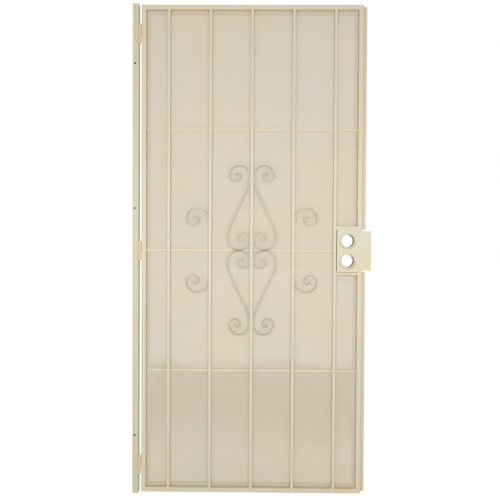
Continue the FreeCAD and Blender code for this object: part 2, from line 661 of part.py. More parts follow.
def build_scrolls():
    for level_name, level in (("upper", 1), ("lower", -1)):
        for side_name, side in (("left", -1), ("right", 1)):
            add_scroll(f"scroll_{level_name}_{side_name}", long_scroll_path(), side, level)
            add_scroll(f"curl_{level_name}_{side_name}", side_scroll_path(), side, level)


build_jamb()
build_frame()
build_flange("latch_flange_upper", LOCK_TOP, f"{LEAF_TOP} - {LOCK_TOP}")
build_flange("latch_flange_lower", LEAF_BOTTOM, f"{LOCK_BOTTOM} - {LEAF_BOTTOM}")
build_bars()
build_screen()
build_lock()
build_hinges()
build_scrolls()
doc.recompute()

for item in doc.Objects:
    if "Invalid" in item.State or "Error" in item.State:
        raise RuntimeError(f"{item.Label} did not recompute: {item.State}")

os.makedirs("parts", exist_ok=True)
for item in pieces:
    shape = item.Shape
    if shape.isNull() or not shape.isValid():
        raise RuntimeError(item.Label + " has no valid shape")
    if len(shape.Solids) != 1:
        raise RuntimeError(f"{item.Label} holds {len(shape.Solids)} solids")
    shape.exportStep(os.path.join("parts", item.Label + ".step"))
    box = shape.BoundBox
    print(f"{item.Label}: X {box.XMin:.2f} {box.XMax:.2f}  Y {box.YMin:.2f} {box.YMax:.2f}"
          f"  Z {box.ZMin:.2f} {box.ZMax:.2f}  volume {shape.Volume:.0f}")
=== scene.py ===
"""The looks of a steel security screen door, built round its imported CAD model.

The door hangs on a slim hinge jamb and wears one cream powder coat. This file adds
the perforated screen, the screws of its retainers, the welds, the coats and a studio.
"""

import math
import random

import bpy
from mathutils import Matrix, Vector


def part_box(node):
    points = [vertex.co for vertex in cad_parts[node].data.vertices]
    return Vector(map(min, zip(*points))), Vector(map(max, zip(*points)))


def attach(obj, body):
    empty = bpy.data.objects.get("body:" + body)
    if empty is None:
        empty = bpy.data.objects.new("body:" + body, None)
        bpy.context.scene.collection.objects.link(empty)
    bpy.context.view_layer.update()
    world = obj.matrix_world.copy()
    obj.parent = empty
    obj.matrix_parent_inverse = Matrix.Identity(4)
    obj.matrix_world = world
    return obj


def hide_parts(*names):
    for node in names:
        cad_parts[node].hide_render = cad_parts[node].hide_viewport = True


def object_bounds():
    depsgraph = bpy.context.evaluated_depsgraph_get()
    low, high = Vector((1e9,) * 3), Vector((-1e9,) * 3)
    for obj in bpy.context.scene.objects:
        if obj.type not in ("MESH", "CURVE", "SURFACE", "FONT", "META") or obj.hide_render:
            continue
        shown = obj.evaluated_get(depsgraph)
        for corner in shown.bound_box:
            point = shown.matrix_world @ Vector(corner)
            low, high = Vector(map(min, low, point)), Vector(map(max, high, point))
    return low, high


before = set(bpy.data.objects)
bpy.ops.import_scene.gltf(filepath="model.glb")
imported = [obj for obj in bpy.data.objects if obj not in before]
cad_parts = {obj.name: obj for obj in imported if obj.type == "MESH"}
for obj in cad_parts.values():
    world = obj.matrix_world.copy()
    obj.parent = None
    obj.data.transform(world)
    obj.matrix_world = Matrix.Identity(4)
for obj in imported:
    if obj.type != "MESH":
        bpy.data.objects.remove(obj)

bl_info = {
    "name": "Steel Security Screen Door",
    "version": (1, 0, 0),
    "blender": (4, 5, 0),
    "location": "3D View > Sidebar > Screen Door",
    "description": "Finishes a steel security screen door and its hinge jamb",
    "category": "Object",
}

MM = 0.001
CAD_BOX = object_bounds()
LEAF = "door_leaf"
JAMB = "jamb"

# The two bores of the lock, and the rings round them, which get painted shade on their lower
# halves
BORE_ACROSS = 898.55 * MM
BORE_HEIGHTS = (43.5 * MM, -41.5 * MM)
BORE_RADIUS = 27.0 * MM
RING_RADIUS = 35.0 * MM

# Colours of what is not paint: bare steel deepened with painted shade, dust, and the painted
# shade at the lock and where the scrolls cross the middle rail
BARE_STEEL_IN_SHADE = (0.02, 0.018, 0.016, 1.0)
DUST = (0.42, 0.38, 0.31, 1.0)
LOCK_SHADE = (0.30, 0.25, 0.15, 1.0)
RAIL_SHADE = (0.17, 0.14, 0.09, 1.0)

# Blobs to a metre in the noises of the coats
SHEET_CLOUDS = 2.2
COAT_CLOUDS = 5.0
STAIN_STREAKS = 7.0
SHADE_BLOTCHES = 45.0
COAT_MOTTLE = 60.0
ORANGE_PEEL = 650.0
COAT_SPECKS = 900.0

# Finishes: strength of the orange peel, specular level, and roughness past the setting
TUBE_FINISH = {"peel": 0.20, "gloss": 0.5, "duller": 0.0}
SHEET_FINISH = {"peel": 0.12, "gloss": 0.3, "duller": 0.18}
PIN_FINISH = {"peel": 0.12, "gloss": 0.5, "duller": -0.06}

# How the coat ends inside the jamb's tube: just under the walls, and from its ends inwards
TUBE_WALL = 1.2 * MM
COAT_FULL = 8.0 * MM
COAT_GONE = 45.0 * MM

# The screen and its screws
NOTCH_GAP = 0.5 * MM
ROW_SPARE = 20.0 * MM
SCREW_MARGIN = 22.0 * MM
RETAINERS = ("left", "right_lower", "right_upper", "bottom", "top")

# The welds: from an edge to a run's end, from two bows' touching place to its runs,
# from a scroll's tip and a curl's foot to theirs, and the stitches of the flanges
WELD_INSET = 2.0 * MM
BOW_GAP = 4.8 * MM
SCROLL_DROPS = (40.0 * MM, 70.0 * MM)
CURL_RISES = (0.0, 32.0 * MM)
STITCH_LENGTH = 22.0 * MM
STITCH_GAPS = 4

# Radius of a run of weld at even steps along it, as shares of its full radius
RIPPLES = (0.42, 0.78, 0.96, 0.88, 1.0, 0.90, 1.0, 0.87, 0.98, 0.90, 0.97, 0.74, 0.40)

# The studio, in metres
LAMP_ASIDE = 0.7
LAMP_FRONT = -3.0
LAMP_HEIGHT = 0.2
LAMP_WIDTH = 1.1
LAMP_DEPTH = 0.7
FLOOR_SIZE = 40
FLOOR_GAP = 0.2 * MM
FLOOR_GLOW = 0.62


# Settings that a user would change

class ScreenSettings(bpy.types.PropertyGroup):
    """The perforated sheet behind the bars."""

    hole_pitch: bpy.props.FloatProperty(
        name="Hole pitch",
        description="Distance between the middles of neighbouring holes",
        default=4.76 * MM,
        unit="LENGTH",
        precision=5,
    )
    web_width: bpy.props.FloatProperty(
        name="Web width",
        description="Width of the metal that is left between two rows of holes",
        default=1.84 * MM,
        unit="LENGTH",
        precision=5,
    )
    margin_width: bpy.props.FloatProperty(
        name="Margin width",
        description="Width of the edge of the sheet that has no holes",
        default=15.0 * MM,
        unit="LENGTH",
    )
    layer_step: bpy.props.FloatProperty(
        name="Layer step",
        description="How far the three directions of webs lie apart in depth",
        default=0.02 * MM,
        unit="LENGTH",
        precision=6,
    )


class ScrewSettings(bpy.types.PropertyGroup):
    """The washer-head screws that hold the retainers."""

    washer_radius: bpy.props.FloatProperty(
        name="Washer radius",
        description="Radius of the round flange under the head",
        default=4.3 * MM,
        unit="LENGTH",
        precision=5,
    )
    washer_height: bpy.props.FloatProperty(
        name="Washer height",
        description="Thickness of the round flange",
        default=0.9 * MM,
        unit="LENGTH",
        precision=5,
    )
    head_radius: bpy.props.FloatProperty(
        name="Head radius",
        description="Radius over the corners of the six-sided head",
        default=3.3 * MM,
        unit="LENGTH",
        precision=5,
    )
    head_height: bpy.props.FloatProperty(
        name="Head height",
        description="Height of the six-sided head over the retainer",
        default=2.9 * MM,
        unit="LENGTH",
        precision=5,
    )
    spacing: bpy.props.FloatProperty(
        name="Spacing",
        description="Greatest distance from one screw to the next",
        default=240.0 * MM,
        unit="LENGTH",
    )


class WeldSettings(bpy.types.PropertyGroup):
    """The runs of weld that join the bars."""

    bead_radius: bpy.props.FloatProperty(
        name="Bead radius",
        description="Radius of a run of weld",
        default=1.5 * MM,
        unit="LENGTH",
        precision=5,
    )
    seed: bpy.props.IntProperty(
        name="Seed",
        description="Start of the small differences between the runs",
        default=7,
        min=0,
    )


class CoatSettings(bpy.types.PropertyGroup):
    """The powder coat."""

    frame_colour: bpy.props.FloatVectorProperty(
        name="Frame colour",
        description="Colour of the coat on the leaf's tubes, bars and plates",
        default=(0.735, 0.65, 0.475),
        size=3,
        min=0.0,
        max=1.0,
        subtype="COLOR",
    )
    jamb_colour: bpy.props.FloatVectorProperty(
        name="Jamb colour",
        description="Colour of the coat on the hinge jamb",
        default=(0.67, 0.615, 0.435),
        size=3,
        min=0.0,
        max=1.0,
        subtype="COLOR",
    )
    # The scrolls' coat is the frame's coat made darker: painted shade for the shadows beside
    # the thin bars
    scroll_shaded_colour: bpy.props.FloatVectorProperty(
        name="Scroll colour",
        description="Colour of the coat on the scrolls",
        default=(0.58, 0.50, 0.36),
        size=3,
        min=0.0,
        max=1.0,
        subtype="COLOR",
    )
    screen_colour: bpy.props.FloatVectorProperty(
        name="Screen colour",
        description="Colour of the coat on the perforated sheet",
        default=(0.665, 0.565, 0.41),
        size=3,
        min=0.0,
        max=1.0,
        subtype="COLOR",
    )
    margin_colour: bpy.props.FloatVectorProperty(
        name="Margin colour",
        description="Colour of the coat on the edge of the sheet that has no holes",
        default=(0.665, 0.595, 0.475),
        size=3,
        min=0.0,
        max=1.0,
        subtype="COLOR",
    )
    grime_colour: bpy.props.FloatVectorProperty(
        name="Grime colour",
        description="Colour of the sheet where it is stained under the lower cross rail",
        default=(0.50, 0.365, 0.225),
        size=3,
        min=0.0,
        max=1.0,
        subtype="COLOR",
    )
    roughness: bpy.props.FloatProperty(
        name="Roughness",
        description="Roughness of the satin coat",
        default=0.42,
        min=0.0,
        max=1.0,
        subtype="FACTOR",
    )


class StageSettings(bpy.types.PropertyGroup):
    """The camera, the lamps and the floor."""

    camera_place: bpy.props.FloatVectorProperty(
        name="Camera place",
        description="Where the camera stands",
        default=(0.5112, -2.4, 0.0433),
        size=3,
        subtype="TRANSLATION",
    )
    camera_turn: bpy.props.FloatVectorProperty(
        name="Camera turn",
        description="How the camera looks up, leans and turns",
        default=(math.radians(90 - 0.981), math.radians(-0.283), math.radians(0.619)),
        size=3,
        subtype="EULER",
    )
    lens: bpy.props.FloatProperty(
        name="Lens",
        description="Focal length on a 36 mm wide sensor",
        default=40.304,
        subtype="DISTANCE_CAMERA",
        precision=3,
    )
    lamp_power: bpy.props.FloatProperty(
        name="Lamp power",
        description="Power of each of the two soft lamps",
        default=24.0,
        unit="POWER",
    )
    sky_level: bpy.props.FloatProperty(
        name="Sky level",
        description="Strength of the even light from all round",
        default=0.46,
        min=0.0,
    )


# Shader maths

class Wire:
    """One output in a material's nodes, on which Python's operators build Math nodes."""

    def __init__(self, tree, socket=None):
        self.tree = tree
        self.socket = socket

    def node(self, kind, settings=None, inputs=None, output=0):
        """Adds a node, sets it, fills its sockets and returns one of its outputs."""
        made = self.tree.nodes.new(kind)
        for key, value in (settings or {}).items():
            setattr(made, key, value)
        for key, value in (inputs or {}).items():
            if isinstance(value, Wire):
                self.tree.links.new(value.socket, made.inputs[key])
            else:
                made.inputs[key].default_value = value
        return Wire(self.tree, made.outputs[output]) if len(made.outputs) else None

    def maths(self, operation, first, second):
        return self.node("ShaderNodeMath", {"operation": operation}, {0: first, 1: second})

    def __add__(self, other):
        return self.maths("ADD", self, other)

    def __radd__(self, other):
        return self.maths("ADD", other, self)

    def __sub__(self, other):
        return self.maths("SUBTRACT", self, other)

    def __rsub__(self, other):
        return self.maths("SUBTRACT", other, self)

    def __mul__(self, other):
        return self.maths("MULTIPLY", self, other)

    def __rmul__(self, other):
        return self.maths("MULTIPLY", other, self)


def new_tree(name):
    """A new material with an empty tree, as the material and a wire to build on."""
    material = bpy.data.materials.new(name)
    material.use_nodes = True
    material.node_tree.nodes.clear()
    return material, Wire(material.node_tree)


def noise(start, place, scale, detail=2.0, roughness=0.5):
    """Soft noise between 0 and 1 with so many blobs to a metre."""
    return start.node(
        "ShaderNodeTexNoise",
        {"noise_dimensions": "3D"},
        {"Vector": place, "Scale": scale, "Detail": detail, "Roughness": roughness},
    )


def blend_colours(start, factor, first, second):
    """Goes from the first colour to the second with the factor."""
    return start.node(
        "ShaderNodeMix",
        {"data_type": "RGBA", "blend_type": "MIX"},
        {0: factor, 6: first, 7: second},
        2,
    )


def ramp_up(start, value, low, high):
    """Rises smoothly from 0 to 1 while the value goes from low to high."""
    return start.node(
        "ShaderNodeMapRange",
        {"interpolation_type": "SMOOTHSTEP"},
        {"Value": value, "From Min": low, "From Max": high},
    )


def coordinates(start, vector):
    """The X, Y and Z of a vector."""
    first = start.node("ShaderNodeSeparateXYZ", None, {0: vector})
    return [Wire(start.tree, socket) for socket in first.socket.node.outputs]


def shade(colour, share):
    """A colour made lighter or darker, with its alpha."""
    return tuple(min(1.0, c * share) for c in colour) + (1.0,)


def cloudy_paint(start, clouds, colour):
    """The colour of a coat, a little cool in some places and a little warm in others."""
    return blend_colours(
        start,
        ramp_up(start, clouds, 0.35, 0.65),
        shade((colour[0] * 0.95, colour[1] * 1.01, colour[2] * 1.04), 0.99),
        shade((colour[0] * 1.02, colour[1] * 0.97, colour[2] * 0.93), 1.0),
    )


def bare_and_shaded_inside(start, place, coat):
    """Leaves the jamb's tube bare inside, where no coat reaches from its ends, and near black
    there: bare steel deepened with painted shade.
    """
    low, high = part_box("hinge_jamb")
    across, depth, height = coordinates(start, place)
    inside = 1.0
    for value, first, last in ((across, low.x, high.x), (depth, low.y, high.y)):
        past_first = start.maths("GREATER_THAN", value, first + TUBE_WALL)
        before_last = start.maths("LESS_THAN", value, last - TUBE_WALL)
        inside = inside * past_first * before_last
    past_foot = ramp_up(start, height, low.z + COAT_FULL, low.z + COAT_GONE)
    past_head = ramp_up(start, height, high.z - COAT_GONE, high.z - COAT_FULL)
    inside = inside * past_foot * (1.0 - past_head)
    return blend_colours(start, inside, coat, BARE_STEEL_IN_SHADE)


def lock_shade(start, place, coat):
    """Painted shade at the lock, broken into blotches: in its bores' rims, on the lower
    halves of the rings round them, and painted shadow lines at the plate's and bar's feet.
    """
    across, _, height = coordinates(start, place)
    blotches = noise(start, place, SHADE_BLOTCHES, detail=3.0, roughness=0.6)
    plate_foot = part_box("lock_shield_plate")[0].z
    bar_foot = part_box("lock_bottom_bar")[0].z
    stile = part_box("latch_stile_lower")[0].x
    beside = 1.0 - ramp_up(start, across, stile - 3.0 * MM, stile)
    seam_gap = start.maths("ABSOLUTE", height - plate_foot, 0.0)
    seam = 1.0 - ramp_up(start, seam_gap, 0.8 * MM, 2.4 * MM)
    underside = 1.0 - ramp_up(start, height, bar_foot + 0.4 * MM, bar_foot + 1.8 * MM)
    shade_mask = beside * (seam + underside)
    for bore_height in BORE_HEIGHTS:
        aside = across - BORE_ACROSS
        above = height - bore_height
        reach = start.maths("POWER", aside * aside + above * above, 0.5)
        rim = 1.0 - ramp_up(start, reach, BORE_RADIUS, BORE_RADIUS + 2.6 * MM)
        ring_gap = start.maths("ABSOLUTE", reach - RING_RADIUS, 0.0)
        ring = 1.0 - ramp_up(start, ring_gap, 0.5 * MM, 2.0 * MM)
        lower_half = 1.0 - ramp_up(start, above, -14.0 * MM, 4.0 * MM)
        shade_mask = shade_mask + rim + ring * lower_half
    share = start.maths("MINIMUM", shade_mask * (0.40 + 0.9 * blotches), 0.80)
    return blend_colours(start, share, coat, LOCK_SHADE)


def rail_shade(start, place, coat):
    """Painted shade on the scrolls where they cross the middle rail and touch one another,
    broken into blotches.
    """
    height = coordinates(start, place)[2]
    low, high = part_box("cross_rail_middle")
    middle = (low.z + high.z) / 2
    blotches = noise(start, place, SHADE_BLOTCHES, detail=3.0, roughness=0.6)
    gap = start.maths("ABSOLUTE", height - middle, 0.0)
    share = (1.0 - ramp_up(start, gap, 2.0 * MM, 10.0 * MM)) * (0.20 + 0.8 * blotches)
    return blend_colours(start, share, coat, RAIL_SHADE)


def grimy_paint(start, place, colour, grime_colour):
    """Colour of the sheet: broad cool and warm clouds, and a stain under the lower rail."""
    height = coordinates(start, place)[2]
    rail_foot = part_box("cross_rail_lower")[0].z
    clouds = noise(start, place, SHEET_CLOUDS, detail=3.0, roughness=0.55)
    streaks = noise(start, place, STAIN_STREAKS, detail=4.0, roughness=0.6)
    coat = cloudy_paint(start, clouds, colour)
    foot_fade = (rail_foot - 0.40, rail_foot - 0.14)
    head_fade = (rail_foot - 0.02, rail_foot + 0.06)
    wander = height + 0.16 * (clouds - 0.5)
    past_foot = ramp_up(start, wander, *foot_fade)
    past_head = ramp_up(start, wander, *head_fade)
    stain = past_foot * (1.0 - past_head) * (0.45 + 0.55 * streaks)
    return blend_colours(start, stain, coat, shade(grime_colour, 1.0))


def powder_coat(name, colour, roughness, finish, grime_colour, shade_painter):
    """Satin powder coat: fine orange peel, faint clouds and dust on what faces up.

    The grime colour is for the sheet; the last argument paints what is special to some
    pieces: painted shade at the lock, where the scrolls cross the middle rail and in the
    jamb's bare inside.
    """
    material, start = new_tree(name)
    place = start.node("ShaderNodeTexCoord", output="Object")
    facing = start.node("ShaderNodeNewGeometry", output="Normal")
    up = coordinates(start, facing)[2]
    mottle = noise(start, place, COAT_MOTTLE, detail=3.0, roughness=0.6)
    specks = noise(start, place, COAT_SPECKS, detail=1.0)
    peel = noise(start, place, ORANGE_PEEL, detail=2.0, roughness=0.45)
    if grime_colour is None:
        clouds = noise(start, place, COAT_CLOUDS, detail=3.0)
        coat = cloudy_paint(start, clouds, colour)
    else:
        coat = grimy_paint(start, place, colour, grime_colour)
    coat = blend_colours(start, mottle * 0.30, coat, shade(colour, 0.92))
    if shade_painter is not None:
        coat = shade_painter(start, place, coat)
    dust_mask = start.node(
        "ShaderNodeMapRange",
        {"clamp": True},
        {"Value": up, "From Min": 0.55, "From Max": 0.95, "To Min": 0.0, "To Max": 0.35},
    )
    coat = blend_colours(start, dust_mask * mottle, coat, DUST)
    rough = roughness + 0.10 * (mottle - 0.5) + 0.25 * dust_mask
    bump = start.node(
        "ShaderNodeBump",
        None,
        {
            "Strength": finish["peel"],
            "Distance": 0.25 * MM,
            "Height": peel + 0.25 * specks,
        },
    )
    shader = start.node(
        "ShaderNodeBsdfPrincipled",
        None,
        {
            "Base Color": coat,
            "Roughness": rough,
            "Normal": bump,
            "IOR": 1.5,
            "Specular IOR Level": finish["gloss"],
        },
    )
    start.node("ShaderNodeOutputMaterial", None, {"Surface": shader})
    return material


def coats():
    """The coats by name, each made once."""
    settings = bpy.context.scene.door_coat
    wanted = {
        "frame_paint": (settings.frame_colour, TUBE_FINISH),
        "jamb_paint": (settings.jamb_colour, TUBE_FINISH),
        "scroll_shaded_paint": (settings.scroll_shaded_colour, TUBE_FINISH),
        "screen_paint": (settings.screen_colour, SHEET_FINISH),
        "margin_paint": (settings.margin_colour, SHEET_FINISH),
        "plate_paint": (settings.frame_colour, TUBE_FINISH),
        "pin_paint": (settings.frame_colour, PIN_FINISH),
    }
    # Painted shade at the lock and where the scrolls cross the middle rail, and the jamb's
    # bare inside deepened with painted shade
    shade_painters = {
        "jamb_paint": bare_and_shaded_inside,
        "plate_paint": lock_shade,
        "scroll_shaded_paint": rail_shade,
    }
    for name, (colour, finish) in wanted.items():
        if name not in bpy.data.materials:
            roughness = settings.roughness + finish["duller"]
            grime = tuple(settings.grime_colour) if name == "screen_paint" else None
            powder_coat(name, tuple(colour), roughness, finish, grime, shade_painters.get(name))
    return {name: bpy.data.materials[name] for name in wanted}


# Modelling helpers

def start_clean():
    """Object mode with nothing selected."""
    if bpy.context.object is not None and bpy.context.object.mode != "OBJECT":
        bpy.ops.object.mode_set(mode="OBJECT")
    bpy.ops.object.select_all(action="DESELECT")


def pick(*objects):
    """Selects only these objects and makes the first one active."""
    start_clean()
    for thing in objects:
        thing.select_set(True)
    bpy.context.view_layer.objects.active = objects[0]
    return objects[0]


def settle(thing):
    """Puts the object's place, turn and scale into its mesh."""
    pick(thing)
    bpy.ops.object.transform_apply(location=True, rotation=True, scale=True)
    return thing


def copy_of(thing, name, matrix=None):
    """A copy with its own mesh, moved by a matrix."""
    twin = thing.copy()
    twin.data = thing.data.copy()
    twin.name = name
    twin.data.name = name
    bpy.context.scene.collection.objects.link(twin)
    if matrix is not None:
        twin.data.transform(matrix)
    return twin


def join_as(name, things):
    """Joins objects into one piece with that name."""
    pick(*things)
    if len(things) > 1:
        bpy.ops.object.join()
    piece = bpy.context.object
    piece.name = name
    piece.data.name = name
    return piece


def tidy_normals(piece):
    """Turns every face of the piece's closed shells outwards."""
    pick(piece)
    bpy.ops.object.mode_set(mode="EDIT")
    bpy.ops.mesh.select_all(action="SELECT")
    bpy.ops.mesh.normals_make_consistent(inside=False)
    bpy.ops.object.mode_set(mode="OBJECT")
    return piece


def cut_away(thing, point, direction):
    """Cuts off what lies past the plane and closes the cut."""
    pick(thing)
    bpy.ops.object.mode_set(mode="EDIT")
    bpy.ops.mesh.select_all(action="SELECT")
    bpy.ops.mesh.bisect(
        plane_co=point, plane_no=direction, use_fill=True, clear_outer=True
    )
    bpy.ops.object.mode_set(mode="OBJECT")
    return thing


def paint(piece, material):
    """Gives the whole piece one coat."""
    piece.data.materials.clear()
    piece.data.materials.append(material)
    return piece


def box_piece(low, high):
    """A plain block from its lowest to its highest corner."""
    start_clean()
    low, high = Vector(low), Vector(high)
    bpy.ops.mesh.primitive_cube_add(size=1, location=(low + high) / 2, scale=high - low)
    return settle(bpy.context.object)


def finish_piece(piece, body, smooth_angle=None):
    """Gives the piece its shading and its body."""
    pick(piece)
    if smooth_angle is None:
        bpy.ops.object.shade_flat()
    else:
        bpy.ops.object.shade_smooth_by_angle(angle=smooth_angle)
    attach(piece, body)
    return piece


# Pieces

def web_family(angle, depth_low, depth_high, low, high, settings):
    """Parallel webs of one direction over the whole sheet."""
    row_step = settings.hole_pitch * math.sqrt(3) / 2
    middle = (low + high) / 2
    width, height = high.x - low.x, high.z - low.z
    reach = abs(width * math.sin(angle)) + abs(height * math.cos(angle))
    rows = 2 * math.ceil(reach / row_step / 2) + 2
    length = math.hypot(width, height) + ROW_SPARE
    across = Vector((math.sin(angle), 0, math.cos(angle)))
    start_clean()
    first = middle - across * row_step * (rows - 1) / 2
    bpy.ops.mesh.primitive_cube_add(
        size=1,
        location=(first.x, (depth_low + depth_high) / 2, first.z),
        rotation=(0, angle, 0),
        scale=(length, depth_high - depth_low, settings.web_width),
    )
    web = settle(bpy.context.object)
    array = web.modifiers.new("rows", "ARRAY")
    array.use_relative_offset = False
    array.use_constant_offset = True
    array.constant_offset_displace = across * row_step
    array.count = rows
    bpy.ops.object.modifier_apply(modifier=array.name)
    return web


class DOOR_OT_screen(bpy.types.Operator):
    """Cuts the perforated sheet out of three directions of webs."""

    bl_idname = "screen_door.screen"
    bl_label = "Perforated Screen"

    def execute(self, context):
        settings = context.scene.door_screen
        low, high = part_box("screen_panel")
        lock_low, lock_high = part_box("lock_box_sides")
        notch_left = lock_low.x - NOTCH_GAP
        notch_low, notch_high = lock_low.z - NOTCH_GAP, lock_high.z + NOTCH_GAP
        margin = settings.margin_width
        left_in, right_in = low.x + margin, high.x - margin
        low_in, high_in = low.z + margin, high.z - margin
        regions = [
            ((left_in, low_in), (notch_left, high_in)),
            ((notch_left, notch_high), (right_in, high_in)),
            ((notch_left, low_in), (right_in, notch_low)),
        ]
        margins = [
            ((low.x, low.z), (left_in, high.z)),
            ((left_in, high_in), (high.x, high.z)),
            ((left_in, low.z), (high.x, low_in)),
            ((right_in, notch_high), (high.x, high_in)),
            ((right_in, low_in), (high.x, notch_low)),
        ]
        ready = coats()
        parts = []
        for layer, angle in enumerate((0.0, math.radians(60), math.radians(-60))):
            lift = layer * settings.layer_step
            slack = (2 - layer) * settings.layer_step
            family = web_family(angle, low.y + lift, high.y - slack, low, high, settings)
            for number, ((left, bottom), (right, top)) in enumerate(regions):
                part = copy_of(family, f"webs_{layer}_{number}")
                cut_away(part, (left, 0, 0), (-1, 0, 0))
                cut_away(part, (right, 0, 0), (1, 0, 0))
                cut_away(part, (0, 0, bottom), (0, 0, -1))
                cut_away(part, (0, 0, top), (0, 0, 1))
                parts.append(paint(part, ready["screen_paint"]))
            bpy.data.objects.remove(family)
        for (left, bottom), (right, top) in margins:
            strip = box_piece((left, low.y, bottom), (right, high.y, top))
            parts.append(paint(strip, ready["margin_paint"]))
        sheet = tidy_normals(join_as("perforated_screen", parts))
        finish_piece(sheet, LEAF)
        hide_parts("screen_panel")
        return {"FINISHED"}


def round_edges(thing, width):
    """Rounds the sharp edges of a shape."""
    rounding = thing.modifiers.new("edge", "BEVEL")
    rounding.width = width
    rounding.segments = 2
    rounding.limit_method = "ANGLE"
    bpy.ops.object.modifier_apply(modifier=rounding.name)


def model_screw(settings):
    """One six-sided washer-head screw, standing on the origin and facing +Y."""
    rim_width, dish_slope, dish_depth = 0.8 * MM, 0.25 * MM, 0.45 * MM
    start_clean()
    back = (-math.pi / 2, 0, 0)
    bpy.ops.mesh.primitive_cylinder_add(
        vertices=28,
        radius=settings.washer_radius,
        depth=settings.washer_height,
        location=(0, settings.washer_height / 2, 0),
        rotation=back,
    )
    washer = settle(bpy.context.object)
    round_edges(washer, width=0.35 * MM)
    start_clean()
    bpy.ops.mesh.primitive_cylinder_add(
        vertices=6,
        radius=settings.head_radius,
        depth=settings.head_height,
        location=(0, settings.head_height / 2, 0),
        rotation=back,
    )
    head = settle(bpy.context.object)
    bpy.ops.object.mode_set(mode="EDIT")
    bpy.ops.mesh.select_all(action="DESELECT")
    bpy.ops.object.mode_set(mode="OBJECT")
    for face in head.data.polygons:
        face.select = face.normal.y > 0.9
    bpy.ops.object.mode_set(mode="EDIT")
    bpy.ops.mesh.inset(thickness=rim_width, depth=0)
    bpy.ops.mesh.inset(thickness=dish_slope, depth=-dish_depth)
    bpy.ops.object.mode_set(mode="OBJECT")
    round_edges(head, width=0.25 * MM)
    return tidy_normals(join_as("screw_model", [washer, head]))


def spaced(low, high, margin, spacing):
    """Evenly spaced places between two ends, no further apart than the spacing."""
    first, last = low + margin, high - margin
    gaps = max(1, math.ceil((last - first) / spacing))
    return [first + (last - first) * k / gaps for k in range(gaps + 1)]


class DOOR_OT_screws(bpy.types.Operator):
    """Screws the retainers to the frame with a row of washer-head screws each."""

    bl_idname = "screen_door.screws"
    bl_label = "Retainer Screws"

    def execute(self, context):
        settings = context.scene.door_screws
        wobble = random.Random(11)
        model = model_screw(settings)
        heads = []
        for name in RETAINERS:
            low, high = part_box(f"screen_retainer_{name}")
            middle = (low + high) / 2
            upright = high.z - low.z > high.x - low.x
            ends = (low.z, high.z) if upright else (low.x, high.x)
            for place in spaced(*ends, SCREW_MARGIN, settings.spacing):
                x, z = (middle.x, place) if upright else (place, middle.z)
                turn = Matrix.Rotation(wobble.uniform(0, math.pi / 3), 4, "Y")
                matrix = Matrix.Translation((x, high.y, z)) @ turn
                heads.append(copy_of(model, f"screw_{len(heads)}", matrix))
        bpy.data.objects.remove(model)
        screws = paint(join_as("retainer_screws", heads), coats()["pin_paint"])
        finish_piece(screws, LEAF, math.radians(35))
        return {"FINISHED"}


def model_bead():
    """One run of weld, 1 long and 1 in radius along Z, with ripples and round ends."""
    start_clean()
    step = 1.0 / (len(RIPPLES) - 1)
    bpy.ops.mesh.primitive_circle_add(
        vertices=8, radius=RIPPLES[0], fill_type="NGON", location=(0, 0, -0.5)
    )
    bead = settle(bpy.context.object)
    bpy.ops.object.mode_set(mode="EDIT")
    bpy.ops.mesh.select_all(action="SELECT")
    for number, size in enumerate(RIPPLES[1:], start=1):
        bpy.ops.mesh.extrude_region_move(TRANSFORM_OT_translate={"value": (0, 0, step)})
        share = size / RIPPLES[number - 1]
        bpy.ops.transform.resize(
            value=(share, share, 1), center_override=(0, 0, -0.5 + step * number)
        )
    bpy.ops.object.mode_set(mode="OBJECT")
    bead.name = "bead_model"
    return tidy_normals(bead)


def lay_bead(model, name, start, end, radius, dice):
    """A copy of the bead from one point to another, with small differences."""
    start, end = Vector(start), Vector(end)
    line = end - start
    turn = line.to_track_quat("Z", "Y").to_matrix().to_4x4()
    wide = radius * dice.uniform(0.85, 1.15)
    spin = Matrix.Rotation(dice.uniform(0, math.tau), 4, "Z")
    scale = Matrix.Diagonal((wide, wide, line.length * dice.uniform(0.9, 1.05), 1))
    return copy_of(
        model, name, Matrix.Translation((start + end) / 2) @ turn @ scale @ spin
    )


def deep_seam(x, z, low, high):
    """Ends of a run that goes from a bar's front to its back, short of both edges."""
    return (x, low.y + WELD_INSET, z), (x, high.y - WELD_INSET, z)


def bar_seams():
    """Ends of the runs at the pickets' ends, the cross rails and the frame's corners."""
    top_low, top_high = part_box("frame_top_rail")
    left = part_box("hinge_stile")[1].x
    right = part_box("latch_stile_lower")[0].x
    bottom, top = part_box("frame_bottom_rail")[1].z, top_low.z
    seams = []
    for x in (left, right):
        for z in (bottom, top):
            seams.append(deep_seam(x, z, top_low, top_high))
    for number in range(1, 6):
        low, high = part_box(f"picket_{number}")
        for side in (low.x, high.x):
            for z in (bottom, top):
                seams.append(deep_seam(side, z, low, high))
            for rail in ("upper", "middle", "lower"):
                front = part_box(f"cross_rail_{rail}")[0].y
                foot, head = (corner.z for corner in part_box(f"cross_rail_{rail}"))
                seams.append(((side, front, foot), (side, front, head)))
    return seams


